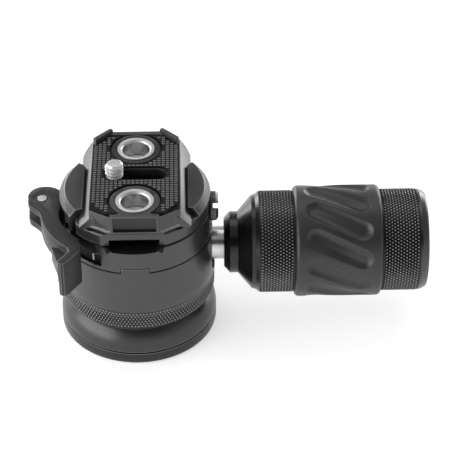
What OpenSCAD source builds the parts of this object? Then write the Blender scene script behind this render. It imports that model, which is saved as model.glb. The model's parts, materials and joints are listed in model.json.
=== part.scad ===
// Levelling head: a ball-jointed camera head with a twist-lock handle, a lever clamp and a camera plate.
// Millimetres, +Z up. The origin is the centre of the base's underside; the handle points along +X
// and the camera plate slides along Y.

/* [Base] */
// Outer radius of the base
base_r = 28.4; // [26.5:0.1:32]
// Height of the base rim, up to its groove line
rim_h = 4.85; // [3.5:0.05:6]
// Height of the whole base
base_h = 13.5; // [13:0.1:14]
// Radius of the domed base shoulder
shoulder_r = 10.4; // [10:0.1:14]
// Depth of the groove between the rim and the upper base
groove = 0.35; // [0.1:0.05:0.8]
// Chamfer under the base rim
base_chamfer = 0.6; // [0.2:0.1:1.2]
// Radius of the tripod thread's bore, 3/8 inch coarse
thread_r = 3.97; // [2.5:0.01:4.5]
// Radius of the thread insert's nose
nose_r = 7; // [6:0.1:9]
// Radius of the thread insert's flange
insert_r = 9.4; // [9:0.1:12]
// Height of the thread insert's top
insert_top = 9; // [8:0.1:9.2]
// How far the insert's nose sits above the underside
insert_recess = 0.3; // [0.1:0.1:1]
// Number of screws that hold the rim to the upper base
base_screw_count = 3; // [3:1:6]
// Distance of the base screws from the centre
base_screw_at = 19; // [15:0.5:21]

/* [Ball] */
// Height of the ball's centre and of the handle's axis
axis_z = 32.8; // [31:0.1:34]
// Radius of the levelling ball
ball_r = 14; // [13:0.1:14.4]
// Wall of the friction liner round the ball
liner_t = 1.25; // [0.8:0.05:1.4]
// Gap between the ball, its liner and its seats
ball_gap = 0.15; // [0.1:0.01:0.25]
// Height of the flat on top of the ball
ball_flat_z = 39; // [38:0.1:39.2]
// Radius of the post under the ball
post_r = 6; // [5:0.1:7]
// Height of the post's top, inside the ball
post_top = 27; // [25:0.1:29]
// Thickness of the post's foot
foot_t = 1.9; // [1.2:0.1:2]
// Thickness of the pan washer
washer_t = 0.5; // [0.3:0.05:0.8]
// Running clearance of turning and sliding pairs
run = 0.06; // [0.03:0.01:0.1]

/* [Housing] */
// Height of the housing's lower edge
skirt_z = 15.5; // [15.5:0.1:18]
// Height of the knurled band's upper edge
knurl_top = 23.4; // [21:0.1:26]
// Radius of the housing under the knurl
knurl_r = 27.5; // [26:0.1:28]
// Largest radius of the smooth housing
housing_r = 28; // [27:0.1:30]
// Height of the split between housing and collar
split_z = 40.8; // [40.5:0.1:42]
// Radius at the split
split_r = 27.4; // [26.8:0.1:28]
// Width of the key tab at the front
tab_w = 9.8; // [6:0.1:14]
// Height of the key tab
tab_h = 1.85; // [1:0.05:2.5]
// Radius of the opening round the post
neck_r = 10.2; // [9.5:0.1:11]
// Radius of the seat ring above the ball
ring_r = 17.1; // [16.6:0.1:17.4]
// Height of the seat ring's underside
ring_z = 37.35; // [36.5:0.05:38]

/* [Collar] */
// Height of the seam between collar and clamp bridge
seam_z = 50.6; // [50:0.1:51.2]
// Radius of the collar at the seam
seam_r = 26.7; // [26.2:0.1:27.2]
// Thickness of the collar's floor
floor_t = 2.8; // [2:0.1:4]
// Radius of the hollow inside the collar
hollow_r = 21; // [20:0.1:22]
// Depth of the index window in the collar
window_depth = 1.4; // [0.8:0.1:2]
// Lower edge of the index window
window_low = 42.4; // [42:0.1:43.5]
// Upper edge of the index window
window_high = 46.7; // [45:0.1:48]
// Distance of the index window's end from the middle
window_x = 11.8; // [10:0.1:14]
// Distance of the collar screws from the centre
collar_screw_at = 19.3; // [19.1:0.1:20.5]

/* [Clamp] */
// Height of the clamp bridge's top
bridge_top = 55.7; // [55:0.1:56.5]
// Radius of the clamp bridge
bridge_r = 26.5; // [26:0.1:27]
// Distance of the flat front of the bridge from the middle
facet_y = 24; // [23:0.1:25.5]
// Half width of the front window
slot_half = 8.7; // [6:0.1:10]
// Depth of the front window from the flat front
slot_depth = 7; // [4:0.1:8]
// Height of the jaws above the bridge
jaw_h = 3; // [2.6:0.1:4]
// Radius of the jaws at their foot
jaw_r = 26.6; // [25.8:0.1:27]
// Radius of the jaws' flat tops
jaw_top_r = 24.6; // [23:0.1:25.5]
// Half distance between the inner edges of the jaw tops
jaw_edge_x = 18.5; // [18.2:0.1:19]
// Length of the jaws' inner edge in front of the middle
jaw_front = 12.9; // [8:0.1:14]
// Length of the jaws' inner edge behind the middle
jaw_back = 12.4; // [8:0.1:14]
// Travel of the moving jaw
jaw_travel = 1.5; // [0.8:0.1:1.8]
// Height of the draw bolt's axis
bolt_z = 49.3; // [48.8:0.1:49.6]
// Radius of the draw bolt
bolt_r = 1.75; // [1.4:0.05:2]
// Radius of the guide pins
guide_r = 1.5; // [1:0.05:1.7]
// Distance of the guide pins from the middle
guide_y = 11; // [7:0.1:12]
// Radius of the adjuster nut
nut_r = 5.35; // [4.5:0.05:6]
// Thickness of the adjuster nut
nut_t = 2.9; // [2:0.1:3.2]
// Width of the slots in the adjuster nut
nut_slot = 1.7; // [1:0.1:2.2]

/* [Lever] */
// Distance of the lever's pivot from the centre
pivot_x = 32.8; // [32.5:0.1:34]
// Height of the lever's top
lever_top = 53.8; // [53.2:0.1:54.6]
// Thickness of the lever's arm
lever_t = 8.8; // [7:0.1:9.5]
// Inner radius of the curved arm
arm_in = 25.55; // [25:0.05:26.5]
// Outer radius of the curved arm
arm_out = 31.5; // [30:0.1:33]
// Angle of the finger tab, from the front towards the left
arm_end = 34; // [30:1:45]
// Radius of the rounded lever head
head_r = 4.9; // [4.2:0.1:5.5]
// Reach of the lever's cam when closed
cam_r = 8.1; // [7.6:0.1:8.4]
// Angle through which the lever opens
lever_swing = 110; // [60:5:120]
// Length of the finger tab
tab_len = 8; // [6:0.1:10]
// Thickness of the finger tab
tab_t = 2.9; // [2:0.1:4]
// Height of the finger tab
tab_drop = 14.3; // [10:0.1:16]
// Radius of the lever's pivot pin
pivot_r = 1.7; // [1.2:0.05:2]
// Radius of the draw bolt's eye
eye_r = 3.4; // [3:0.1:3.8]
// Height of the draw bolt's eye
eye_t = 3.2; // [2.6:0.1:4]

/* [Plate] */
// Height of the camera plate, from its foot to its pad
plate_h = 7.85; // [7.2:0.05:9.5]
// Thickness of the rubber pad
pad_t = 0.8; // [0.4:0.1:1.4]
// Offset of the plate's middle towards the handle
plate_x = 0.4; // [0:0.1:0.5]
// Half width of the plate's body
plate_half = 15.7; // [15.4:0.1:16]
// Half width of the dovetail's foot
dovetail_half = 19.5; // [19.2:0.1:19.7]
// Front edge of the plate
plate_front = 24.8; // [24:0.1:27]
// Back edge of the plate
plate_back = 26.3; // [25:0.1:29]
// Chamfer of the plate's corners
corner = 6.6; // [4:0.1:8]
// Length of the front corners along the plate
front_corner = 4; // [2:0.1:6]
// Length of the dovetail in front of the middle
rail_front = 20.6; // [18:0.1:22.5]
// Height of the anti-twist lips above the pad
lip_h = 1.7; // [0.5:0.1:3]
// Thickness of the anti-twist lips
lip_t = 1.3; // [0.8:0.1:2]
// Distance of the sling sockets from the middle
socket_y = 15.35; // [14.6:0.05:16]
// Outer radius of the sling sockets
socket_r = 6.6; // [6:0.1:6.9]
// Radius of the sling sockets' bore
socket_bore_r = 4.8; // [4:0.05:5.2]
// Floor of the sling sockets, under their bore
socket_floor = 1.1; // [0.6:0.1:2]
// Radius of the raised ring round each socket
boss_r = 8.7; // [7.6:0.1:9]
// Length of the camera screw's slot
slot_len = 22; // [16:0.1:22.4]
// Width of the camera screw's slot
slot_w = 6.9; // [6.8:0.1:7.4]
// Middle of the slot, along the plate
slot_y = 0.7; // [-1:0.1:1.2]
// Radius of the camera screw, 1/4 inch
screw_r = 3.175; // [2.5:0.005:3.3]
// Height of the camera screw above the pad
screw_h = 4.5; // [3:0.1:6]
// Radius of the camera screw's head
screw_head_r = 5.6; // [5:0.1:5.8]

/* [Handle] */
// Radius of the handle's steel shaft
shaft_r = 6.05; // [5:0.05:6.6]
// Start of the handle, from the centre
handle_x = 31.3; // [31:0.1:34]
// Length of the nose in front of the knurl
nose_len = 12.4; // [10:0.1:16]
// Radius of the nose's front ring
nose_ring_r = 11.1; // [9:0.1:13]
// Radius of the knurled rings
ring_knurl_r = 18.2; // [17:0.1:19.5]
// Length of the inner knurled ring
inner_len = 12.5; // [8:0.1:16]
// Length of the rubber grip
grip_len = 31.2; // [28:0.1:40]
// Radius of the rubber grip
grip_r = 20; // [19:0.1:22]
// Depth of the finger recesses
recess_d = 1.3; // [0.5:0.1:2]
// Number of finger recesses
recess_count = 12; // [6:1:12]
// Length of each finger recess
recess_len = 25.2; // [14:0.1:26]
// Width of each finger recess
recess_w = 7; // [4:0.1:7.4]
// Slant of the finger recesses
recess_slant = 26; // [0:1:30]
// Length of the outer knurled ring
outer_len = 13.2; // [8:0.1:18]
// Length of the end cap
cap_len = 3; // [2:0.1:5]
// Radius of the end cap's flat
cap_r = 17.1; // [14:0.1:17.4]
// Radius of the handle's core
core_r = 14; // [12:0.1:15]
// Travel of the brake shoe
shoe_travel = 0.5; // [0.2:0.1:0.6]

/* [Hidden] */
$fn = 96;
eps = 0.02;
fit = 0.03;
flat_gap = 0.12;
plate_gap = 0.15;
clear = 0.25;

// Base stack
shoulder_z = rim_h + 0.85;
shoulder_turn = asin((base_h - shoulder_z) / shoulder_r);
pocket_top = base_h - 1.7;
foot_top = pocket_top - washer_t - 2 * run;
foot_r = insert_r - 0.1;
screw3_r = 1.5;
screw3_head_r = 2.75;
screw3_head_h = 2.6;
screw3_hex_r = 1.4;
base_screw_seat = 3.1;
base_screw_top = 10.5;
base_screw_turn = 30;

// Ball stack
liner_in = ball_r + ball_gap;
liner_out = liner_in + liner_t;
seat_r = liner_out + ball_gap;
liner_drop = 9.3;
liner_low = axis_z - liner_drop;
liner_step = 0.6;
liner_high = ball_flat_z - liner_step;
ball_screw_r = 3;
ball_screw_head_r = 4.9;
ball_screw_seat = ball_flat_z - 3.8;
ball_screw_len = 18;
ball_screw_head_h = 3.2;
ball_screw_hex_r = 2.5;

// Side bore of the housing, along X
spot_x = housing_r - 1.1;
spot_r = 9.6;
bush_r = 7.6;
shoe_len = 3.6;
shoe_back = seat_r + shoe_len;
shoulder_gap = 0.2;
shoulder_x = shoe_back + clear + shoe_travel + shoulder_gap;
shoulder_t = 1.5;
bush_x = shoulder_x + shoulder_t;
shoulder_flange_r = 7;
tab_in = 3;
tab_top_r = split_r - (housing_r - split_r) * tab_h / (split_z - knurl_top - 0.3);
shelf = 0.05;
shoe_r = 4.4;
drive_r = 2.5;
drive_depth = 1.4;
drive_tip = shoe_back - drive_depth;

// Collar and clamp
collar_low = split_z + 0.05;
floor_z = collar_low + floor_t;
collar_reach = max(split_r, seam_r) + 1;
bridge_low = seam_z + 0.05;
leg_face = pivot_x - cam_r - clear;
leg_back = leg_face - 4;
cut_x = leg_back - 0.2;
leg_half = 13.5;
leg_low = floor_z + clear;
cut_half = leg_half + 1;
wall_x = 8;
wall_t = 4;
wall_half = 6;
jaw_low = bridge_top;
jaw_top = bridge_top + jaw_h;
plate_low = bridge_top + plate_gap;
plate_top = plate_low + plate_h;
dovetail_h = dovetail_half - plate_half;
foot_land = 0.3;
beak_z = jaw_top - 0.75;
beak_x = plate_half + (plate_low + foot_land + dovetail_h - beak_z) + flat_gap;
guide_z = bridge_top - 2.6;
guide_len = 13;
spring_in = bolt_r + 0.5;
spring_out = bolt_r + 1.5;
nut_seat = 26.2;
nut_turn = 37;
nut_floor = 0.95;
nut_sleeve_r = 2.8;
nut_sleeve_len = 5;
clamp_screw_at = 23.6;
clamp_screw_angle = 52;
clamp_screw_bite = 4.5;
collar_screw_bite = 6;
jaw_slant = 0.35;
jaw_screw_r = 1.25;
jaw_screw_head_r = 2.2;
jaw_screw_head_h = 1.8;
jaw_screw_y = 8;
jaw_screw_x = 22.2;

// Lever
lever_low = lever_top - lever_t;
slot_low = bolt_z - eye_t / 2 - 0.2;
slot_high = bolt_z + eye_t / 2 + 0.7;
slot_reach = cam_r + 0.9;
arm_x = -1.7;
arm_y = -4.75;
web_drop = 2.8;
neck_w = 6;

// Plate
body_top = plate_top - pad_t;
pad_gap = 0.75;
pad_front = plate_front - 1.75;
pad_across = 4.7;
pad_along = 5.5;
ground_half = 5.5;
ground_back = plate_back - 2.2;
rail_back = plate_back - 0.1;
sweep_r = 7.2;
sweep_y = rail_back - 6.4;
lip_end = 0.4;
socket_top = plate_top + 0.15;
socket_lift = 0.7;
socket_low = plate_low + socket_lift;
socket_chamfer = 0.7;
tray_top = plate_low + 3.7;
tray_r = screw_head_r + 0.6;
slot_run = slot_len - slot_w;
screw_x = plate_x - slot_run / 2 + 0.15;
washer_top = tray_top - 0.05;
screw_washer_t = 0.5;
screw_head_t = 2.6;
screw_neck_r = screw_r - 0.5;
screw_thread_low = plate_top + 0.3;
screw_tip = 0.6;
screw_head_top = washer_top - screw_washer_t - run;
front_step = 1.2;
front_foot = 0.5;
front_foot_h = 1;
block_half = 8.4;
block_t = 2;
recess_half = 7.4;
recess_low = plate_low + 1.4;
recess_high = plate_top - 0.6;
recess_in = 1.4;

// Handle stations along X
inner_x = handle_x + nose_len;
grip_x = inner_x + inner_len;
outer_x = grip_x + grip_len;
cap_x = outer_x + outer_len;
end_x = cap_x + cap_len;
recess_phase = 1.2;
shaft_reach = 16;
shaft_end = inner_x + shaft_reach;
handle_bolt_r = 2.5;
handle_bolt_head_r = 4.3;
handle_bolt_hex_r = 2;
handle_bolt_bite = 8;
handle_bolt_tap = 2;

// Points of an arc in a plane, from one angle to another
function arc(cx, cy, r, from, to, steps = 8) =
    [for (i = [0 : steps]) let (a = from + (to - from) * i / steps) [cx + r * cos(a), cy + r * sin(a)]];

// A tube or rod along Z
module tube(r_out, r_in, z0, z1) {
    translate([0, 0, z0])
        difference() {
            cylinder(r = r_out, h = z1 - z0);
            translate([0, 0, -eps])
                cylinder(r = r_in, h = z1 - z0 + 2 * eps);
        }
}

// A rod along Z
module rod(r, z0, z1) {
    translate([0, 0, z0])
        cylinder(r = r, h = z1 - z0);
}

// A rod along X at a given height
module cross_rod(r, x0, x1, z = axis_z, y = 0) {
    translate([x0, y, z])
        rotate([0, 90, 0])
            cylinder(r = r, h = x1 - x0);
}

// Turns a profile of [radius, station along X] points about the handle's axis
module handle_turned(points) {
    translate([0, 0, axis_z])
        rotate([0, 90, 0])
            rotate_extrude()
                polygon(points);
}

// A socket-head screw standing on its tip, with its head's seat at z = 0
module socket_screw(shank_r, shank_len, head_r, head_h, socket_r) {
    difference() {
        union() {
            rod(shank_r, -shank_len, 0);
            rod(head_r, 0, head_h);
        }
        translate([0, 0, head_h * 0.45])
            cylinder(r = socket_r, h = head_h, $fn = 6);
    }
}

// Copies its children round the Z axis
module ring_of(count, r, from = 0) {
    for (i = [0 : count - 1])
        rotate([0, 0, from + 360 * i / count])
            translate([r, 0, 0])
                children();
}

// The four places of the clamp screws
module at_clamp_screws() {
    across = clamp_screw_at * cos(clamp_screw_angle);
    along = clamp_screw_at * sin(clamp_screw_angle);
    for (sx = [-1, 1])
        for (sy = [-1, 1])
            translate([sx * across, sy * along, 0])
                children();
}

// A block from one corner to another
module block(low, high) {
    translate(low)
        cube(high - low);
}

// Base

module base_plate() {
    color("#2b2b2d")
        difference() {
            rotate_extrude()
                polygon([
                    [nose_r + fit, 0],
                    [base_r - base_chamfer, 0],
                    [base_r, base_chamfer],
                    [base_r, rim_h - groove],
                    [base_r - groove, rim_h],
                    [nose_r + fit, rim_h]
                ]);
            ring_of(base_screw_count, base_screw_at, base_screw_turn) {
                rod(screw3_r + fit, -eps, rim_h + eps);
                rod(screw3_head_r + fit, -eps, base_screw_seat);
            }
        }
}

module base_shell() {
    color("#303033")
        difference() {
            rotate_extrude()
                polygon(concat(
                    [
                        [insert_r + fit, rim_h],
                        [base_r - groove, rim_h],
                        [base_r, rim_h + groove]
                    ],
                    arc(base_r - shoulder_r, shoulder_z, shoulder_r, 0, shoulder_turn),
                    [
                        [post_r + run, base_h],
                        [post_r + run, pocket_top],
                        [insert_r + fit, pocket_top]
                    ]
                ));
            ring_of(base_screw_count, base_screw_at, base_screw_turn)
                rod(screw3_r + fit, rim_h - eps, base_screw_top + clear);
        }
}

module thread_insert() {
    color("#b8a878")
        rotate_extrude()
            polygon([
                [thread_r, insert_recess],
                [nose_r, insert_recess],
                [nose_r, rim_h],
                [insert_r, rim_h],
                [insert_r, insert_top],
                [thread_r, insert_top]
            ]);
}

module base_screws() {
    reach = base_screw_top - base_screw_seat;
    color("#8d8d90")
        ring_of(base_screw_count, base_screw_at, base_screw_turn)
            translate([0, 0, base_screw_seat])
                mirror([0, 0, 1])
                    socket_screw(screw3_r, reach, screw3_head_r, screw3_head_h, screw3_hex_r);
}

module pan_washer() {
    color("#e8e4d8")
        tube(foot_r - fit, post_r + 0.2, foot_top + run, foot_top + run + washer_t);
}

// Ball joint

module ball_post() {
    color("#c4c6c8")
        difference() {
            union() {
                rod(post_r, foot_top - eps, post_top);
                rod(foot_r - 0.1, foot_top - foot_t, foot_top);
            }
            rod(ball_screw_r + fit, ball_screw_seat - ball_screw_len - 0.5, post_top + eps);
        }
}

module levelling_ball() {
    ball_low = axis_z - sqrt(ball_r * ball_r - post_r * post_r) + 0.4;
    color("#9a9ca0")
        difference() {
            intersection() {
                translate([0, 0, axis_z])
                    sphere(r = ball_r);
                block([-ball_r, -ball_r, ball_low], [ball_r, ball_r, ball_flat_z]);
            }
            rod(post_r + fit, ball_low - eps, post_top + fit);
            rod(ball_screw_r + 0.1, post_top - eps, ball_flat_z);
            rod(ball_screw_head_r + 0.1, ball_screw_seat, ball_flat_z + eps);
        }
}

module ball_screw() {
    color("#8d8d90")
        translate([0, 0, ball_screw_seat])
            socket_screw(ball_screw_r, ball_screw_len, ball_screw_head_r, ball_screw_head_h, ball_screw_hex_r);
}

module ball_liner() {
    color("#dcd8cc")
        intersection() {
            translate([0, 0, axis_z])
                difference() {
                    sphere(r = liner_out);
                    sphere(r = liner_in);
                }
            block([-liner_out, -liner_out, liner_low], [liner_out, liner_out, liner_high]);
        }
}

// Housing

module lower_housing() {
    color("#39393b")
        difference() {
            rotate_extrude()
                polygon([
                    [neck_r, skirt_z],
                    [knurl_r - 0.6, skirt_z],
                    [knurl_r, skirt_z + 0.6],
                    [knurl_r, knurl_top],
                    [housing_r, knurl_top + 0.3],
                    [tab_top_r, split_z + tab_h],
                    [split_r - tab_in, split_z + tab_h],
                    [split_r - tab_in, split_z - shelf],
                    [neck_r, split_z - shelf]
                ]);
            // The rim stops at the split, except for the key tab at the front
            difference() {
                block([-split_r - 2, -split_r - 2, split_z], [split_r + 2, split_r + 2, split_z + tab_h + 1]);
                block([-tab_w / 2, -split_r - 3, split_z - 2], [tab_w / 2, 0, split_z + tab_h + 2]);
            }
            translate([0, 0, axis_z])
                sphere(r = seat_r);
            rod(seat_r, axis_z, ring_z);
            rod(ring_r + fit, ring_z, split_z + eps);
            cross_rod(shoe_r + run, 0, shoulder_x);
            cross_rod(bush_r, shoulder_x - shoulder_gap, housing_r + 1);
            cross_rod(spot_r, spot_x, housing_r + 1);
            ring_of(4, collar_screw_at, 45)
                rod(screw3_r + fit, split_z - collar_screw_bite - 2, split_z + eps);
        }
}

module upper_seat_ring() {
    color("#4a4a4d")
        difference() {
            rod(ring_r, ring_z, split_z);
            translate([0, 0, axis_z])
                sphere(r = seat_r);
            rod(sqrt(pow(seat_r, 2) - pow(split_z - axis_z, 2)), axis_z, split_z + eps);
        }
}

module shaft_bush() {
    color("#b08d4f")
        difference() {
            cross_rod(bush_r - fit, bush_x, spot_x);
            cross_rod(shaft_r + run, bush_x - eps, spot_x + eps);
        }
}

module collar_shell() {
    rotate_extrude()
        polygon([
            [0, collar_low],
            [split_r - 0.25, collar_low],
            [split_r - 0.05, collar_low + 0.2],
            [seam_r, seam_z - 0.25],
            [seam_r - 0.25, seam_z],
            [hollow_r, seam_z],
            [hollow_r, floor_z],
            [0, floor_z]
        ]);
}

// The front window's lower half, with slanted ends
module collar_notch() {
    notch_low = seam_z - 1.4;
    translate([0, -hollow_r + 3, 0])
        rotate([90, 0, 0])
            linear_extrude(height = split_r)
                polygon([
                    [-slot_half + 1.1, notch_low],
                    [slot_half - 1.1, notch_low],
                    [slot_half + 0.8, seam_z + eps],
                    [-slot_half - 0.8, seam_z + eps]
                ]);
}

module collar() {
    color("#3d3d40")
        difference() {
            union() {
                collar_shell();
                block([-wall_x - wall_t, -wall_half, floor_z - eps], [-wall_x, wall_half, seam_z]);
            }
            collar_notch();
            block(
                [-tab_w / 2 - clear, -collar_reach, collar_low - eps],
                [tab_w / 2 + clear, -split_r + tab_in + 1 + clear, split_z + tab_h + clear]
            );
            // Index window: a shallow recess in the wall on the lever's side
            intersection() {
                tube(collar_reach, split_r - window_depth - 0.3, window_low, window_high);
                block([-collar_reach, -collar_reach, window_low], [-window_x, 0, window_high]);
            }
            // Room for the moving jaw's leg and the lever's cam
            block([-collar_reach, -cut_half, floor_z], [-cut_x, cut_half, seam_z + eps]);
            cross_rod(bolt_r + run, -collar_reach, collar_reach, bolt_z);
            cross_rod(nut_r + 0.5, nut_seat, collar_reach, bolt_z);
            cross_rod(nut_sleeve_r + run, nut_seat - nut_sleeve_len, nut_seat + eps, bolt_z);
            ring_of(4, collar_screw_at, 45) {
                rod(screw3_r + fit, collar_low - eps, floor_z + eps);
                rod(screw3_head_r + 0.15, floor_z, seam_z + eps);
            }
            at_clamp_screws()
                rod(screw3_r + fit, seam_z - clamp_screw_bite - 1, seam_z + eps);
        }
}

module collar_screws() {
    color("#8d8d90")
        ring_of(4, collar_screw_at, 45)
            translate([0, 0, floor_z])
                socket_screw(screw3_r, floor_t + collar_screw_bite, screw3_head_r, screw3_head_h, screw3_hex_r);
}

module index_mark() {
    mark_r = split_r - window_depth - 0.3;
    mark_angle = asin((window_x + 2.6) / mark_r);
    color("white")
        rotate([0, 0, -mark_angle])
            block([-0.28, -mark_r - 0.1, window_low + 0.3], [0.28, -mark_r, window_high - 0.9]);
}

// Clamp

module clamp_bridge() {
    color("#3d3d40")
        difference() {
            intersection() {
                rotate_extrude()
                    polygon([
                        [0, bridge_low],
                        [bridge_r - 0.2, bridge_low],
                        [bridge_r, bridge_low + 0.2],
                        [bridge_r, bridge_top - 0.4],
                        [bridge_r - 0.4, bridge_top],
                        [0, bridge_top]
                    ]);
                block([-cut_x, -facet_y, 0], [bridge_r, bridge_r, plate_top]);
            }
            block(
                [-slot_half, -facet_y - 1, bridge_low - eps],
                [slot_half, -facet_y + slot_depth, bridge_low + 2.5]
            );
            cross_rod(nut_r + 0.5, nut_seat, collar_reach, bolt_z);
            cross_rod(nut_sleeve_r + run, nut_seat - nut_sleeve_len, nut_seat + eps, bolt_z);
            cross_rod(bolt_r + run, -collar_reach, collar_reach, bolt_z);
            cross_rod(spring_out + clear, -collar_reach, -wall_x - wall_t, bolt_z);
            at_clamp_screws() {
                rod(screw3_r + fit, bridge_low - eps, bridge_top + eps);
                rod(screw3_head_r + 0.1, bridge_top - screw3_head_h - 0.2, bridge_top + eps);
            }
            for (s = [-1, 1])
                cross_rod(guide_r + fit, -cut_x - eps, -cut_x + guide_len - 3, guide_z, s * guide_y);
            for (s = [-1, 1])
                translate([jaw_screw_x, s * jaw_screw_y, 0]) {
                    rod(jaw_screw_r + fit, bridge_low - eps, bridge_top + eps);
                    rod(jaw_screw_head_r + fit, bridge_low - eps, bridge_low + jaw_screw_head_h + 0.2);
                }
        }
}

module clamp_screws() {
    reach = bridge_top - screw3_head_h - seam_z + clamp_screw_bite;
    color("#8d8d90")
        at_clamp_screws()
            translate([0, 0, bridge_top - screw3_head_h - 0.2])
                socket_screw(screw3_r, reach, screw3_head_r, screw3_head_h, screw3_hex_r);
}

// A half-moon jaw on the +X side, with a beak that holds the dovetail and slanted ends
module half_moon(low, shift) {
    edge = jaw_edge_x + shift;
    beak = beak_x + shift;
    reach = jaw_r + 1 - edge;
    intersection() {
        rotate_extrude()
            polygon([
                [0, low],
                [jaw_r, low],
                [jaw_r, jaw_top - jaw_h + 0.6],
                [jaw_top_r, jaw_top],
                [0, jaw_top]
            ]);
        rotate([90, 0, 0])
            linear_extrude(height = 2 * jaw_r, center = true)
                polygon([
                    [edge, jaw_top],
                    [beak, beak_z],
                    [beak + beak_z - low, low],
                    [jaw_r + 1, low],
                    [jaw_r + 1, jaw_top]
                ]);
        linear_extrude(height = jaw_top + 1)
            polygon([
                [edge - 3, -jaw_front + 3 * jaw_slant],
                [edge - 3, jaw_back - 3],
                [edge + reach, jaw_back + reach],
                [edge + reach, -jaw_front - reach * jaw_slant]
            ]);
    }
}

module right_jaw() {
    color("#2e2e31")
        difference() {
            half_moon(jaw_low, plate_x);
            for (s = [-1, 1])
                translate([jaw_screw_x, s * jaw_screw_y, 0])
                    rod(jaw_screw_r + fit, jaw_low - eps, jaw_top - 0.8);
        }
}

module right_jaw_screws() {
    color("#8d8d90")
        for (s = [-1, 1])
            translate([jaw_screw_x, s * jaw_screw_y, bridge_low + jaw_screw_head_h + 0.2])
                mirror([0, 0, 1])
                    socket_screw(jaw_screw_r, jaw_top - 1 - bridge_low - jaw_screw_head_h - 0.2,
                        jaw_screw_head_r, jaw_screw_head_h, 1);
}

module left_jaw() {
    color("#2e2e31")
        difference() {
            union() {
                mirror([1, 0, 0])
                    half_moon(jaw_low + flat_gap, -plate_x);
                intersection() {
                    block([-leg_face, -leg_half, leg_low], [-leg_back, leg_half, jaw_low + 1]);
                    rod(jaw_r, leg_low, jaw_top);
                }
            }
            cross_rod(bolt_r + 0.2, -jaw_r, -leg_back + eps, bolt_z);
            for (s = [-1, 1])
                cross_rod(guide_r + run, -jaw_r, -leg_back + eps, guide_z, s * guide_y);
        }
}

module guide_pins() {
    color("#c4c6c8")
        for (s = [-1, 1])
            cross_rod(guide_r, -leg_face + 0.3, -leg_face + 0.3 + guide_len, guide_z, s * guide_y);
}

module draw_bolt() {
    color("#55575a")
        difference() {
            union() {
                cross_rod(bolt_r, -pivot_x + eye_r - 0.6, nut_seat + clear + nut_floor - 0.1, bolt_z);
                translate([-pivot_x, 0, 0])
                    rod(eye_r, bolt_z - eye_t / 2, bolt_z + eye_t / 2);
            }
            translate([-pivot_x, 0, 0])
                rod(pivot_r + run, bolt_z - eye_t, bolt_z + eye_t);
        }
}

module jaw_spring() {
    color("#a9abae")
        difference() {
            cross_rod(spring_out, -leg_back + 0.1, -wall_x - wall_t - 0.1, bolt_z);
            cross_rod(spring_in, -leg_back, -wall_x - wall_t, bolt_z);
        }
}

module adjuster_nut() {
    nut_back = nut_seat + clear;
    color("#2b2b2d")
        difference() {
            translate([nut_back, 0, bolt_z])
                rotate([0, 90, 0])
                    rotate_extrude()
                        polygon([
                            [bolt_r + run, -nut_sleeve_len],
                            [nut_sleeve_r, -nut_sleeve_len],
                            [nut_sleeve_r, 0],
                            [nut_r - 0.3, 0],
                            [nut_r, 0.3],
                            [nut_r, nut_t - 0.9],
                            [nut_r - 1.1, nut_t],
                            [bolt_r + run, nut_t]
                        ]);
            for (a = [-nut_turn, 90 - nut_turn])
                translate([nut_back + nut_floor, 0, bolt_z])
                    rotate([a, 0, 0])
                        block([0, -nut_r - 1, -nut_slot / 2], [nut_t, nut_r + 1, nut_slot / 2]);
        }
}

// Lever

// Reach of the cam: falls steadily from closed to open, then eases into the round head
function cam(a) = cam_r - jaw_travel * min(a, lever_swing) / lever_swing
    - max(0, a - lever_swing) * (cam_r - jaw_travel - head_r) / (180 - lever_swing);

// Plan of the lever's head and neck about its pivot
module head_plan() {
    neck_out = head_r - 0.2;
    polygon(concat(
        [for (a = [0 : 5 : 180]) [cam(a) * cos(a), cam(a) * sin(a)]],
        [
            [-head_r, -head_r * 0.4],
            [-neck_out + 0.4, -neck_out + 0.7],
            [-neck_out + 1.4, -neck_out - 0.5],
            [-neck_out + 2.6, -neck_out - 1.7],
            [-neck_out + 3.6, -neck_out - 2.9],
            [-neck_out + 4.4, -neck_out - 4.2],
            [-neck_out + 5, -neck_out - 5.9],
            [-neck_out + 5.5, -neck_out - 7.8],
            [-neck_out + 5.5 + neck_w, -neck_out - 7.8],
            [cam_r - 2, -cam_r - 0.4],
            [cam_r - 1.4, -cam_r + 1.8],
            [cam_r - 0.3, -cam_r * 0.3]
        ]
    ));
}

// Plan of the curved arm about its own centre
module arm_plan() {
    last = 270 - arm_end - 8;
    polygon(concat(
        arc(0, 0, arm_in, last, 190, 12),
        arc(0, 0, arm_out, 190, last, 12)
    ));
}

// Places its children at the arm's centre, with X along the finger tab and Y away from the arm
module at_arm_end() {
    translate([arm_x, arm_y, 0])
        rotate([0, 0, 270 - arm_end])
            children();
}

// Plan of the finger tab and the corner that joins it to the arm
module tab_plan() {
    tab_x = arm_in + 4.2;
    tab_end = tab_x + tab_len + 1.8;
    polygon([
        [arm_in + 0.7, -tab_t - 0.6],
        [arm_in + 1.2, -tab_t + 0.8],
        [tab_x, 0.15],
        [tab_end - 1.4, 0.15],
        [tab_end - 0.5, -0.3],
        [tab_end, -1.2],
        [tab_end - 0.1, -2.2],
        [tab_end - 0.6, -tab_t + 0.15],
        [arm_out + 1.2, -tab_t + 0.15],
        [arm_out - 0.4, -tab_t - 1.3]
    ]);
}

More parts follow.
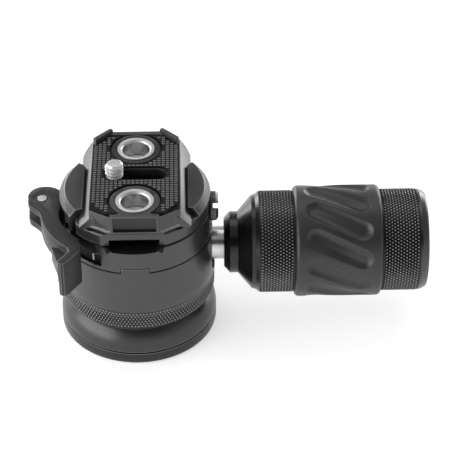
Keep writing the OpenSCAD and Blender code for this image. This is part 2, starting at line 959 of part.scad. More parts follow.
module lever() {
    tab_low = lever_top - tab_drop;
    tab_tip = arm_in + tab_len + 6;
    color("#2e2e31")
        difference() {
            union() {
                translate([-pivot_x, 0, lever_low])
                    linear_extrude(height = lever_t)
                        head_plan();
                translate([arm_x, arm_y, lever_low])
                    linear_extrude(height = lever_t)
                        arm_plan();
                at_arm_end()
                    translate([0, 0, lever_low])
                        linear_extrude(height = lever_t)
                            polygon([
                                [arm_in * cos(9), -arm_in * sin(9)],
                                [arm_in + 0.7, -tab_t - 0.6],
                                [arm_out - 0.4, -tab_t - 1.3],
                                [arm_out * cos(9), -arm_out * sin(9)]
                            ]);
                at_arm_end()
                    translate([0, 0, tab_low])
                        linear_extrude(height = tab_drop)
                            tab_plan();
                at_arm_end()
                    translate([0, 0, lever_low])
                        linear_extrude(height = lever_t - web_drop)
                            polygon([
                                [arm_out - 3, -tab_t],
                                [tab_tip - 0.5, -tab_t + 0.3],
                                [tab_tip - 3, -tab_t - 2.1],
                                [arm_out + 2, -tab_t - 5.8],
                                [arm_out - 0.4, -tab_t - 8.6]
                            ]);
            }
            translate([-pivot_x, 0, 0]) {
                rod(pivot_r + fit, lever_low - eps, lever_top + eps);
                rod(pivot_r + 0.55, lever_top - 0.4, lever_top + eps);
                rod(slot_reach, slot_low, slot_high);
            }
        }
}

module lever_pin() {
    color("#d8dadc")
        translate([-pivot_x, 0, 0])
            rod(pivot_r, lever_low + 0.2, lever_top + 0.1);
}

// Camera plate

// Plan of the plate: an oblong with its corners cut, set in by a margin
module plate_plan(
    inset = 0, front = plate_front - front_step, across = corner, along = front_corner
) {
    half = plate_half - inset;
    cut = corner - inset * 0.4;
    y0 = inset - front;
    y1 = plate_back - inset;
    polygon([
        [-half, y0 + along],
        [-half + across, y0],
        [half - across, y0],
        [half, y0 + along],
        [half, y1 - cut],
        [half - cut, y1],
        [-half + cut, y1],
        [-half, y1 - cut]
    ]);
}

// A slot with round ends along X
module round_slot(len_between, r, z0, z1) {
    translate([0, slot_y, 0]) {
        for (s = [-1, 1])
            translate([s * len_between / 2, 0, 0])
                rod(r, z0, z1);
        block([-len_between / 2, -r, z0], [len_between / 2, r, z1]);
    }
}

// One dovetail rail on the +X side, with its back end swept in to the plate
module dovetail_rail() {
    flank_top = plate_low + foot_land + dovetail_h;
    intersection() {
        translate([0, rail_back, 0])
            rotate([90, 0, 0])
                linear_extrude(height = rail_front + rail_back)
                    polygon([
                        [plate_half - corner, plate_low],
                        [dovetail_half - 0.3, plate_low],
                        [dovetail_half, plate_low + foot_land],
                        [plate_half, flank_top],
                        [plate_half - corner, flank_top]
                    ]);
        linear_extrude(height = plate_top) {
            polygon([
                [0, -rail_front],
                [dovetail_half - 0.5, -rail_front],
                [dovetail_half + 1, -rail_front + 1.5],
                [dovetail_half + 1, sweep_y],
                [0, sweep_y]
            ]);
            translate([dovetail_half - sweep_r + 0.05, sweep_y])
                circle(r = sweep_r);
            translate([0, sweep_y - 1])
                square([dovetail_half - sweep_r, rail_back - sweep_y + 2]);
        }
    }
}

// Raised ground round the sockets, joined to the front and back edges
module socket_ground(gap = 0) {
    for (s = [-1, 1])
        translate([0, s * socket_y])
            circle(r = boss_r + gap);
    translate([-ground_half - gap, -plate_front])
        square([2 * (ground_half + gap), plate_front - socket_y]);
    translate([-plate_half, ground_back - gap])
        square([2 * plate_half, plate_back - ground_back + gap]);
}

module plate_body() {
    color("#4b4b4e")
        translate([plate_x, 0, 0])
            difference() {
                union() {
                    translate([0, 0, plate_low])
                        linear_extrude(height = body_top - plate_low)
                            plate_plan();
                    block(
                        [-block_half, -plate_front, plate_low + 0.8],
                        [block_half, -plate_front + block_t, plate_top - 0.1]
                    );
                    for (m = [0, 1])
                        mirror([m, 0, 0])
                            dovetail_rail();
                    // Foot along the front corners
                    intersection() {
                        translate([0, 0, plate_low])
                            linear_extrude(height = front_foot_h)
                                plate_plan(-front_foot);
                        block(
                            [-plate_half, -plate_front, plate_low],
                            [plate_half, front_step - plate_front + front_corner, plate_top]
                        );
                    }
                    translate([0, 0, body_top - eps])
                        linear_extrude(height = pad_t - 0.1 + eps)
                            intersection() {
                                socket_ground();
                                plate_plan();
                            }
                    // Anti-twist lips along the two back corners
                    intersection() {
                        translate([0, 0, body_top - eps])
                            linear_extrude(height = pad_t + lip_h)
                                difference() {
                                    plate_plan();
                                    plate_plan(lip_t);
                                }
                        for (m = [0, 1])
                            mirror([m, 0, 0])
                                translate([plate_half, plate_back - corner, 0])
                                    rotate([0, 0, 45])
                                        block(
                                            [-lip_t - 0.4, lip_end, 0],
                                            [0.1, corner * sqrt(2) - lip_end, plate_top + lip_h]
                                        );
                    }
                }
                round_slot(slot_run, slot_w / 2, plate_low, plate_top);
                round_slot(slot_run, tray_r, plate_low - eps, tray_top);
                for (s = [-1, 1])
                    translate([0, s * socket_y, 0])
                        rod(socket_r + fit, socket_low, plate_top);
                block(
                    [-recess_half, -plate_front - 1, recess_low],
                    [recess_half, -plate_front + recess_in, recess_high]
                );
            }
}

module plate_pad() {
    color("#262628")
        translate([plate_x, 0, body_top + eps])
            linear_extrude(height = pad_t - eps)
                difference() {
                    plate_plan(pad_gap, pad_front, pad_across, pad_along);
                    socket_ground(pad_gap);
                    translate([0, slot_y]) {
                        for (s = [-1, 1])
                            translate([s * slot_run / 2, 0])
                                circle(r = slot_w / 2 + 0.35);
                        square([slot_run, slot_w + 0.7], center = true);
                    }
                    for (m = [0, 1])
                        mirror([m, 0, 0])
                            translate([plate_half, plate_back - corner])
                                rotate(45)
                                    translate([-lip_t - 0.75, -3])
                                        square([5, corner * 2 + 6]);
                }
}

module sling_sockets() {
    color("#d0d2d4")
        for (s = [-1, 1])
            translate([plate_x, s * socket_y, 0])
                difference() {
                    rod(socket_r, socket_low, socket_top);
                    rod(socket_bore_r, socket_low + socket_floor, socket_top + eps);
                    translate([0, 0, socket_top - socket_chamfer])
                        cylinder(
                            r1 = socket_bore_r,
                            r2 = socket_bore_r + socket_chamfer,
                            h = socket_chamfer + eps
                        );
                }
}

module screw_washer() {
    color("#a9abae")
        translate([screw_x, slot_y, 0])
            tube(screw_head_r + 0.2, screw_r + run, washer_top - screw_washer_t, washer_top);
}

module camera_screw() {
    color("#d8dadc")
        translate([screw_x, slot_y, 0])
            difference() {
                union() {
                    rod(screw_neck_r, screw_head_top - eps, screw_thread_low + eps);
                    rod(screw_r, screw_thread_low, plate_top + screw_h - screw_tip);
                    translate([0, 0, plate_top + screw_h - screw_tip])
                        cylinder(r1 = screw_r, r2 = screw_r - screw_tip, h = screw_tip);
                    rod(screw_head_r, screw_head_top - screw_head_t, screw_head_top);
                }
                block(
                    [-screw_head_r - 1, -0.7, screw_head_top - screw_head_t - 1],
                    [screw_head_r + 1, 0.7, screw_head_top - screw_head_t + 1.1]
                );
            }
}

// Handle

module brake_shoe() {
    color("#b08d4f")
        difference() {
            cross_rod(shoe_r, seat_r - shoe_r, shoe_back);
            translate([0, 0, axis_z])
                sphere(r = seat_r);
            cross_rod(drive_r + run, drive_tip - shoe_travel - clear, shoe_back + eps);
        }
}

module handle_shaft() {
    color("#c9cbcd")
        difference() {
            union() {
                cross_rod(shaft_r, shoulder_x, shaft_end);
                cross_rod(shoulder_flange_r, shoulder_x, bush_x - run);
                cross_rod(drive_r, drive_tip, shoulder_x + eps);
            }
            cross_rod(handle_bolt_r + fit, shaft_end - handle_bolt_bite - handle_bolt_tap, shaft_end + eps);
        }
}

module handle_nose() {
    color("#2b2b2d")
        handle_turned([
            [shaft_r + fit, handle_x],
            [nose_ring_r - 2.3, handle_x],
            [nose_ring_r, handle_x + 2.1],
            [nose_ring_r, handle_x + 4.9],
            [ring_knurl_r - 1.4, inner_x - 2.6],
            [ring_knurl_r - 1, inner_x - 1.2],
            [ring_knurl_r, inner_x],
            [shaft_r + fit, inner_x]
        ]);
}

module inner_knurl_ring() {
    color("#2b2b2d")
        handle_turned([
            [core_r + fit, inner_x],
            [ring_knurl_r, inner_x],
            [ring_knurl_r, grip_x],
            [core_r + fit, grip_x]
        ]);
}

module handle_core() {
    color("#3d3d40")
        handle_turned([
            [shaft_r + fit, inner_x],
            [core_r, inner_x],
            [core_r, cap_x],
            [handle_bolt_r + 0.2, cap_x],
            [handle_bolt_r + 0.2, shaft_end + fit],
            [shaft_r + fit, shaft_end + fit]
        ]);
}

// One slanted finger recess, cut from outside towards the axis
module finger_recess() {
    reach = (recess_len - recess_w) / 2;
    rotate([0, 0, -recess_slant]) {
        for (s = [-1, 1])
            translate([s * reach, 0, 0])
                rod(recess_w / 2, grip_r - recess_d - 1, grip_r + 2);
        block([-reach, -recess_w / 2, grip_r - recess_d - 1], [reach, recess_w / 2, grip_r + 2]);
    }
}

module grip_rubber() {
    edge = 1.6;
    floor_r = grip_r - recess_d;
    color("#3a3a3c") {
        handle_turned([
            [core_r + fit, grip_x],
            [floor_r, grip_x],
            [floor_r, outer_x],
            [core_r + fit, outer_x]
        ]);
        difference() {
            handle_turned(concat(
                [[floor_r - eps, grip_x + 0.1], [grip_r - edge, grip_x + 0.1]],
                [for (p = arc(edge, edge, edge, 180, 90)) [grip_r - edge + p[1] - edge, grip_x + 0.1 + p[0]]],
                [for (p = arc(-edge, edge, edge, 90, 0)) [grip_r - edge + p[1] - edge, outer_x - 0.1 + p[0]]],
                [[floor_r - eps, outer_x - 0.1]]
            ));
            for (i = [0 : recess_count - 1])
                translate([(grip_x + outer_x) / 2, 0, axis_z])
                    rotate([recess_phase + 360 * i / recess_count, 0, 0])
                        finger_recess();
        }
    }
}

module outer_knurl_ring() {
    color("#2b2b2d")
        handle_turned([
            [core_r + fit, outer_x],
            [ring_knurl_r, outer_x],
            [ring_knurl_r, cap_x],
            [core_r + fit, cap_x]
        ]);
}

module handle_end_cap() {
    color("#2b2b2d")
        handle_turned([
            [handle_bolt_r + 0.2, cap_x],
            [ring_knurl_r, cap_x],
            [ring_knurl_r, cap_x + cap_len * 0.25],
            [cap_r + 0.45, end_x - cap_len * 0.22],
            [cap_r, end_x],
            [handle_bolt_head_r + 0.2, end_x],
            [handle_bolt_head_r + 0.2, cap_x + 0.9],
            [handle_bolt_r + 0.2, cap_x + 0.9]
        ]);
}

module handle_bolt() {
    color("#8d8d90")
        translate([cap_x + 0.9, 0, axis_z])
            rotate([0, 90, 0])
                socket_screw(
                    handle_bolt_r, cap_x - shaft_end + handle_bolt_bite,
                    handle_bolt_head_r, cap_len - 1.2, handle_bolt_hex_r
                );
}

base_plate();
base_shell();
thread_insert();
base_screws();
pan_washer();
ball_post();
levelling_ball();
ball_screw();
ball_liner();
lower_housing();
upper_seat_ring();
shaft_bush();
collar();
collar_screws();
index_mark();
clamp_bridge();
clamp_screws();
right_jaw();
right_jaw_screws();
guide_pins();
draw_bolt();
jaw_spring();
adjuster_nut();
lever();
lever_pin();
left_jaw();
plate_body();
plate_pad();
sling_sockets();
screw_washer();
camera_screw();
brake_shoe();
handle_shaft();
handle_nose();
inner_knurl_ring();
handle_core();
grip_rubber();
outer_knurl_ring();
handle_end_cap();
handle_bolt();
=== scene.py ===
import json
import math

import bmesh
import bpy
from mathutils import Matrix, Vector
from mathutils.bvhtree import BVHTree


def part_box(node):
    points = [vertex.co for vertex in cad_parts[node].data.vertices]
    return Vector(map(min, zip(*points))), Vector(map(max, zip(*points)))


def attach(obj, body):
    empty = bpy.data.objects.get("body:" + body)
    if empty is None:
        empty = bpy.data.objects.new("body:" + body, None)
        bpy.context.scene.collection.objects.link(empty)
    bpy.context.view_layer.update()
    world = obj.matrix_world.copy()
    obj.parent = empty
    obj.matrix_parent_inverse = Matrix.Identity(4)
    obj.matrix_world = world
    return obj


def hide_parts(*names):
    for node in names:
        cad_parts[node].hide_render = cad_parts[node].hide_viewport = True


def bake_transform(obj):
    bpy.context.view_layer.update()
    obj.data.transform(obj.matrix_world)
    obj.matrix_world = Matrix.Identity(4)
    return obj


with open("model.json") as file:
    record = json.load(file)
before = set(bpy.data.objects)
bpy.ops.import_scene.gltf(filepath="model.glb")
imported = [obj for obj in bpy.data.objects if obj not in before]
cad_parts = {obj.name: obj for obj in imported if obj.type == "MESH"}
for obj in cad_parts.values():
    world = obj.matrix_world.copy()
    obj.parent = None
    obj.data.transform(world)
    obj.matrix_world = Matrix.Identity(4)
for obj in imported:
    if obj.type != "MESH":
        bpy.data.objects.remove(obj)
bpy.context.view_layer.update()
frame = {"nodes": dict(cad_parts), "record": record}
nodes = frame["nodes"]
bodyOf = {n: b for b, members in frame["record"]["behaviour"]["bodies"].items() for n in members}
mm = 0.001
fullTurn = 2 * math.pi
weld = 0.000001  # points closer than this are one
axisHeight = 32.8  # the handle's axis runs along X at this height in mm
ballAxis = Vector((0, 0, axisHeight * mm))
print("frame loaded:", len(nodes), "CAD nodes")


# materials

toneEnds = (0.3, 0.7)  # the noise goes from the dark tone to the light one between these
blotchDetail = 3.0
grainDetail = 2.0


def newFinish(name):
    mat = bpy.data.materials.new(name)
    mat.use_nodes = True
    return mat, mat.node_tree, mat.node_tree.nodes["Principled BSDF"]


def addNode(tree, kind, **settings):
    made = tree.nodes.new(kind)
    for key, value in settings.items():
        if key in made.inputs:
            made.inputs[key].default_value = value
        else:
            setattr(made, key, value)
    return made


def noiseNode(tree, coords, scale, detail):
    made = addNode(tree, "ShaderNodeTexNoise", Scale=scale, Detail=detail)
    tree.links.new(coords, made.inputs["Vector"])
    return made.outputs["Fac"]


def latheLines(tree, coords, axis, centre, scale):  # fine turning lines round an axis
    place = addNode(tree, "ShaderNodeMapping", Location=[-c for c in centre])
    tree.links.new(coords, place.inputs["Vector"])
    flat = addNode(tree, "ShaderNodeVectorMath", operation="MULTIPLY")
    flat.inputs[1].default_value = (0, 1, 1) if axis == "X" else (1, 1, 0)
    tree.links.new(place.outputs["Vector"], flat.inputs[0])
    radius = addNode(tree, "ShaderNodeVectorMath", operation="LENGTH")
    tree.links.new(flat.outputs["Vector"], radius.inputs[0])
    parts = addNode(tree, "ShaderNodeSeparateXYZ")
    tree.links.new(place.outputs["Vector"], parts.inputs["Vector"])
    along = addNode(tree, "ShaderNodeMath", operation="ADD")
    tree.links.new(parts.outputs[axis], along.inputs[0])
    tree.links.new(radius.outputs["Value"], along.inputs[1])
    lines = addNode(tree, "ShaderNodeTexNoise", noise_dimensions="1D", Scale=scale, Detail=grainDetail)
    tree.links.new(along.outputs["Value"], lines.inputs["W"])
    return lines.outputs["Fac"]


def makeFinish(name, look):
    mat, tree, shader = newFinish(name)
    coords = addNode(tree, "ShaderNodeTexCoord").outputs["Object"]
    ramp = addNode(tree, "ShaderNodeValToRGB")
    for stop, place, tone in zip(ramp.color_ramp.elements, toneEnds, (look["dark"], look["light"])):
        stop.position = place
        stop.color = (*tone, 1)
    tree.links.new(noiseNode(tree, coords, look["blotch"], blotchDetail), ramp.inputs["Fac"])
    tree.links.new(ramp.outputs["Color"], shader.inputs["Base Color"])
    if "lathe" in look:
        grain = latheLines(tree, coords, look["lathe"], look.get("centre", (0, 0, 0)), look["lines"])
    else:
        grain = noiseNode(tree, coords, look["grain"], grainDetail)
    rough = addNode(tree, "ShaderNodeMapRange")
    rough.inputs["To Min"].default_value, rough.inputs["To Max"].default_value = look["rough"]
    tree.links.new(grain, rough.inputs["Value"])
    tree.links.new(rough.outputs["Result"], shader.inputs["Roughness"])
    bump = addNode(tree, "ShaderNodeBump", Strength=look["bump"], Distance=look["relief"])
    tree.links.new(grain, bump.inputs["Height"])
    tree.links.new(bump.outputs["Normal"], shader.inputs["Normal"])
    for socket, value in look["sockets"].items():
        shader.inputs[socket].default_value = value
    return mat


def shine(level):
    return {"Specular IOR Level": level}


blackAlloy = {"dark": (0.012, 0.012, 0.0123), "light": (0.017, 0.017, 0.0174), "blotch": 90, "grain": 6500,
              "rough": (0.3, 0.42), "bump": 0.16, "relief": 0.00004, "sockets": shine(0.8)}
turnedBody = {**blackAlloy, "lathe": "Z", "lines": 7000, "rough": (0.26, 0.38), "bump": 0.1}
turnedHandle = {**blackAlloy, "lathe": "X", "centre": ballAxis, "lines": 9000}
bareMetal = {"blotch": 200, "grain": 5000, "bump": 0.15, "relief": 0.00003, "sockets": {"Metallic": 1.0}}
rubber = {"grain": 5200, "bump": 0.25, "relief": 0.00004}
finishLooks = {
    "satinBlack": blackAlloy,
    "blastedBlack": {**blackAlloy, "rough": (0.36, 0.5), "bump": 0.3, "sockets": shine(0.55)},
    # a darker black: painted shade in the plate's front recess, and round the sockets
    "darkerPlateBlack": {**blackAlloy, "dark": (0.007, 0.007, 0.0072), "light": (0.011, 0.011, 0.0113),
                    "sockets": shine(0.45)},
    "rimBlack": {**turnedBody, "sockets": shine(0.4)},
    "shellBlack": {**turnedBody, "sockets": shine(0.62)},
    "turnedBlack": {**turnedHandle, "dark": (0.006, 0.006, 0.0062), "light": (0.009, 0.009, 0.0093),
                    "rough": (0.24, 0.36), "bump": 0.12},
    "turnedHousing": turnedBody,
    # painted highlight: lighter greys for the bevel faces along broken edges, softer on the lever, bridge and
    # plate
    "paintedEdgeHighlight": {**blackAlloy, "dark": (0.09, 0.09, 0.091), "light": (0.14, 0.14, 0.142), "rough": (0.24, 0.34)},
    "paintedSoftEdgeHighlight": {**blackAlloy, "dark": (0.03, 0.03, 0.0304), "light": (0.05, 0.05, 0.0507), "rough": (0.26, 0.38)},
    # painted highlight on the knurl crests (and the plate's front foot edge), painted shade on the knurl flanks
    "paintedBrightHighlight": {**blackAlloy, "dark": (0.2, 0.2, 0.202), "light": (0.28, 0.28, 0.282), "rough": (0.2, 0.3),
                   "bump": 0.08, "sockets": shine(1.0)},
    "knurlFlankPaintedShade": {**blackAlloy, "dark": (0.005, 0.005, 0.0051), "light": (0.008, 0.008, 0.0081),
                   "rough": (0.28, 0.4), "sockets": shine(0.5)},
    "noseBlack": {**turnedHandle, "dark": (0.002, 0.002, 0.002), "light": (0.003, 0.003, 0.003),
                  "rough": (0.2, 0.3), "bump": 0.1, "sockets": shine(0.45)},
    # near black: painted shade in recesses, seams and the pad bed, and the washer's own colour
    "deepBlackAndPaintedShade": {**blackAlloy, "dark": (0.002, 0.002, 0.002), "light": (0.004, 0.004, 0.004),
                  "rough": (0.55, 0.7), "sockets": shine(0.2)},
    "boreSteel": {**bareMetal, "dark": (0.34, 0.34, 0.345), "light": (0.74, 0.74, 0.745), "blotch": 520,
                  "rough": (0.26, 0.38), "bump": 0.1},
    # painted highlight: a pale, non-metal floor in the socket bores
    "boreFloorPaintedHighlight": {**bareMetal, "dark": (0.88, 0.88, 0.885), "light": (0.96, 0.96, 0.965), "blotch": 400,
                  "rough": (0.3, 0.45), "bump": 0.1, "sockets": shine(0.5)},
    "leverBlack": {**blackAlloy, "rough": (0.36, 0.5), "bump": 0.3, "sockets": shine(0.38)},
    "stainless": {**bareMetal, "dark": (0.52, 0.52, 0.525), "light": (0.62, 0.62, 0.625), "rough": (0.34, 0.48),
                  "bump": 0.1, "sockets": {"Metallic": 0.8}},
    "shaftSteel": {**bareMetal, "dark": (0.5, 0.5, 0.51), "light": (0.66, 0.66, 0.67), "lathe": "X",
                   "centre": ballAxis, "lines": 5000, "rough": (0.18, 0.36), "bump": 0.2, "relief": 0.00004},
    "darkSteel": {**bareMetal, "dark": (0.16, 0.16, 0.165), "light": (0.24, 0.24, 0.245), "blotch": 300,
                  "grain": 6000, "rough": (0.28, 0.42)},
    "gripRubber": {**rubber, "dark": (0.011, 0.011, 0.0112), "light": (0.018, 0.018, 0.0183), "blotch": 130,
                   "grain": 4200, "rough": (0.36, 0.5), "relief": 0.00005, "sockets": shine(0.6)},
    "padRubber": {**rubber, "dark": (0.005, 0.005, 0.0052), "light": (0.009, 0.009, 0.0092), "blotch": 260,
                  "rough": (0.5, 0.68), "sockets": shine(0.2)},
    # painted highlight: pips lighter than the pad they stand on
    "pipRubberPaintedHighlight": {**rubber, "dark": (0.11, 0.11, 0.111), "light": (0.16, 0.16, 0.161), "blotch": 700,
                  "rough": (0.42, 0.58), "sockets": shine(0.5)},
    "brass": {**bareMetal, "dark": (0.5, 0.36, 0.16), "light": (0.66, 0.5, 0.25), "rough": (0.2, 0.34)},
    "ballAlloy": {**bareMetal, "dark": (0.45, 0.45, 0.46), "light": (0.58, 0.58, 0.59), "blotch": 150,
                  "rough": (0.22, 0.36), "bump": 0.12},
    "nylon": {"dark": (0.66, 0.63, 0.54), "light": (0.76, 0.73, 0.65), "blotch": 200, "grain": 3000,
              "rough": (0.35, 0.5), "bump": 0.15, "relief": 0.00004, "sockets": shine(0.4)},
    "whitePaint": {"dark": (0.74, 0.74, 0.73), "light": (0.86, 0.86, 0.85), "blotch": 900, "grain": 5000,
                   "rough": (0.45, 0.6), "bump": 0.2, "relief": 0.00003, "sockets": shine(0.4)},
}
finishes = {name: makeFinish(name, look) for name, look in finishLooks.items()}
nodeFinish = {
    "base_plate": "rimBlack", "base_shell": "shellBlack", "thread_insert": "brass",
    "base_screws": "darkSteel", "pan_washer": "nylon", "ball_post": "stainless",
    "levelling_ball": "ballAlloy", "ball_screw": "darkSteel", "ball_liner": "nylon",
    "lower_housing": "turnedHousing", "upper_seat_ring": "satinBlack", "shaft_bush": "turnedBlack",
    "collar": "turnedHousing", "collar_screws": "darkSteel", "index_mark": "whitePaint",
    "clamp_bridge": "satinBlack", "clamp_screws": "darkSteel", "right_jaw": "blastedBlack",
    "right_jaw_screws": "darkSteel", "guide_pins": "satinBlack", "draw_bolt": "darkSteel",
    "jaw_spring": "stainless", "adjuster_nut": "satinBlack", "lever": "leverBlack",
    "lever_pin": "stainless", "left_jaw": "blastedBlack", "plate_body": "satinBlack",
    "plate_pad": "padRubber", "sling_sockets": "stainless", "screw_washer": "deepBlackAndPaintedShade",
    "camera_screw": "stainless", "brake_shoe": "brass", "handle_shaft": "shaftSteel",
    "handle_nose": "noseBlack", "inner_knurl_ring": "turnedBlack", "handle_core": "satinBlack",
    "grip_rubber": "gripRubber", "outer_knurl_ring": "turnedBlack", "handle_end_cap": "turnedBlack",
    "handle_bolt": "darkSteel",
}
for name, finish in nodeFinish.items():
    nodes[name].data.materials.clear()
    nodes[name].data.materials.append(finishes[finish])
print("finishes:", len(finishes))


# pieces

shortEdge = 0.002  # edges up to this length in mm are closed up
shortEdges = {"lever": 0.1}  # the same for one node
flatWithin = 0.05  # faces within this many degrees are one


def addObject(name, bm):
    mesh = bpy.data.meshes.new(name)
    bm.to_mesh(mesh)
    bm.free()
    made = bpy.data.objects.new(name, mesh)
    bpy.context.scene.collection.objects.link(made)
    return made


def addPiece(name, bm, node, looks, replaced=True, sharpAngle=None, rides=True):
    if sharpAngle is not None:  # smooth faces that break at sharp edges
        for face in bm.faces:
            face.smooth = True
        for edge in bm.edges:
            edge.smooth = len(edge.link_faces) == 2 and edge.calc_face_angle() < math.radians(sharpAngle)
    piece = addObject(name, bm)
    for look in looks:
        piece.data.materials.append(finishes[look])
    if rides:
        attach(piece, bodyOf[node])
    if replaced:
        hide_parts(node)
    return piece


def mergedCopy(node):
    bm = bmesh.new()
    bm.from_mesh(nodes[node].data)
    bmesh.ops.remove_doubles(bm, verts=bm.verts, dist=shortEdges.get(node, shortEdge) * mm)
    bmesh.ops.dissolve_limit(bm, angle_limit=math.radians(flatWithin), verts=bm.verts, edges=bm.edges)
    return bm


def spinProfile(bm, points, axis, centre, steps, angle=fullTurn, lift=(0, 0, 0), closed=True):
    rim = [bm.verts.new(p) for p in points]
    lines = [bm.edges.new(pair) for pair in zip(rim, rim[1:])]
    if closed:
        lines.append(bm.edges.new((rim[-1], rim[0])))
    bmesh.ops.spin(bm, geom=rim + lines, cent=centre, axis=axis, dvec=lift, angle=angle, steps=steps,
                   use_merge=angle >= fullTurn and not any(lift))


def closeUp(bm):
    bmesh.ops.remove_doubles(bm, verts=bm.verts, dist=weld)
    openEdges = [e for e in bm.edges if len(e.link_faces) == 1]
    if openEdges:
        bmesh.ops.holes_fill(bm, edges=openEdges, sides=0)
    bmesh.ops.recalc_face_normals(bm, faces=bm.faces)


# broken edges on the machined pieces, with a painted highlight along them: the bevel faces take a lighter grey

edgeBreak = {"sharpFrom": 28, "segments": 2, "smoothBelow": 40}  # angles in degrees
brokenEdges = {  # node: edge width in mm, finish, finish of the edge; on the black pieces the edge finish is a lighter painted highlight, on the steel ones plain stainless
    "base_plate": (0.22, "rimBlack", "paintedEdgeHighlight"),
    "base_shell": (0.2, "shellBlack", "paintedEdgeHighlight"),
    "lower_housing": (0.16, "turnedHousing", "paintedEdgeHighlight"),
    "collar": (0.14, "turnedHousing", "paintedEdgeHighlight"),
    "clamp_bridge": (0.2, "satinBlack", "paintedSoftEdgeHighlight"),
    "right_jaw": (0.22, "blastedBlack", "paintedEdgeHighlight"),
    "left_jaw": (0.22, "blastedBlack", "paintedEdgeHighlight"),
    "lever": (0.2, "leverBlack", "paintedSoftEdgeHighlight"),
    "plate_body": (0.18, "satinBlack", "paintedSoftEdgeHighlight"),
    "adjuster_nut": (0.18, "satinBlack", "paintedEdgeHighlight"),
    "sling_sockets": (0.15, "stainless", "stainless"),
    "lever_pin": (0.2, "stainless", "stainless"),
}
recessFinishes = {  # slots 2, 3 and 4, mostly painted shade and painted highlight; elsewhere slot 2 is a near-black painted shade
    "plate_body": ["darkerPlateBlack", "deepBlackAndPaintedShade", "paintedBrightHighlight"],  # front recess (painted shade) and socket rims (a darker black), pad bed (painted shade), foot edge (painted highlight)
    "sling_sockets": ["boreSteel", "deepBlackAndPaintedShade", "boreFloorPaintedHighlight"],  # bore wall, the corner under it (painted shade), floor (painted highlight)
}
paintedShadeBoxes = {  # painted shade: recesses, and the collar wall left of the window under the lever, coloured near black where shade falls (on the plate a darker black); low and high corner in mm, and the radius they end at
    "clamp_bridge": [((-9.2, -23.7, 50.0), (9.2, -16.5, 53.4), 40)],
    "plate_body": [((-7.2, -24.75, 57.0), (8.0, -23.2, 63.2), 40)],
    "collar": [((-9.9, -27.0, 49.0), (9.9, -15.0, 50.8), 40),
               ((-27.2, -26.0, 42.2), (-11.5, -0.5, 46.9), 27.2),
               ((-28.0, -26.0, 46.7), (-13.5, -0.5, 50.8), 40)],
}
paintedShadeSeams = {  # heights in mm where two pieces meet; the bevel faces there take a painted shade
    "base_plate": [4.85], "base_shell": [4.85], "lower_housing": [40.8], "collar": [40.8, 50.6],
    "clamp_bridge": [50.6],
}
seamReach = 0.4
padBed = {"floor": 62.9, "reach": 0.7, "rimFrom": 0.6, "rimRadius": 9, "wallTo": 0.65}
plateFoot = {"top": 56.85, "reach": 0.25, "front": -19}
socketBore = {"x": 0.4, "y": 15.35, "radius": 4.8, "slack": 0.1, "corner": 4.4, "floor": 57.65, "reach": 0.3}
facingUp = 0.9  # least Z of the normal of a level face
sloping = 0.3  # Z of the normal between a wall and a slope


# painted shade: the seam bevels and the faces inside the dark boxes take slot 2
def inPaintedShade(node, at, onEdge):
    if onEdge and any(abs(at.z - z) < seamReach for z in paintedShadeSeams.get(node, [])):
        return True
    return any(all(a < c < b for a, c, b in zip(low, at, high)) and math.hypot(at.x, at.y) < reach
               for low, high, reach in paintedShadeBoxes.get(node, []))


# slot 2 round the sockets, slot 3 is painted shade on the pad bed, slot 4 is painted highlight on the front foot
# edge
def plateRecess(face, at, away):
    if abs(at.z - padBed["floor"]) < padBed["reach"]:
        onRim = at.z > padBed["floor"] + padBed["rimFrom"] and away < padBed["rimRadius"]
        if onRim and face.normal.z > facingUp:
            return 2
        if at.z < padBed["floor"] + padBed["wallTo"] and face.material_index == 0:
            return 3
    atFoot = abs(at.z - plateFoot["top"]) < plateFoot["reach"] and at.y < plateFoot["front"]
    if atFoot and face.normal.z > sloping:
        return 4
    return face.material_index


# slot 2 is the bore wall, slot 3 painted shade in the corner under it, slot 4 painted highlight on the floor
def socketRecess(face, at, away):
    wall = socketBore["radius"] + socketBore["slack"]
    if away < wall and abs(face.normal.z) < sloping:
        return 2
    if at.z < socketBore["floor"] + socketBore["reach"]:
        if socketBore["corner"] < away < wall:
            return 3
        if away < socketBore["radius"]:
            return 4
    return face.material_index


def recessSlot(node, face):
    at = face.calc_center_median() / mm
    if inPaintedShade(node, at, face.material_index == 1):
        return 2
    away = math.hypot(at.x - socketBore["x"], abs(at.y) - socketBore["y"])  # from the nearer socket's axis
    if node == "plate_body":
        return plateRecess(face, at, away)
    if node == "sling_sockets":
        return socketRecess(face, at, away)
    return face.material_index


def breakEdges(node, width, finish, edgeFinish):
    bm = mergedCopy(node)
    least = math.radians(edgeBreak["sharpFrom"])
    sharp = [e for e in bm.edges if len(e.link_faces) == 2 and e.calc_face_angle() > least]
    made = bmesh.ops.bevel(bm, geom=sharp, offset=width * mm, offset_type="OFFSET", affect="EDGES",
                           segments=edgeBreak["segments"], profile=0.5, material=-1, clamp_overlap=False)
    # the bevel faces take slot 1, the painted edge highlight
    for face in made["faces"]:
        face.material_index = 1
    bm.normal_update()
    for face in bm.faces:
        face.material_index = recessSlot(node, face)
    inner = recessFinishes.get(node, ["deepBlackAndPaintedShade"])
    addPiece(node + ".edged", bm, node, [finish, edgeFinish] + inner, sharpAngle=edgeBreak["smoothBelow"])


for node, (width, finish, edgeFinish) in brokenEdges.items():
    breakEdges(node, width, finish, edgeFinish)
print("broken edges:", len(brokenEdges))


# diamond knurls

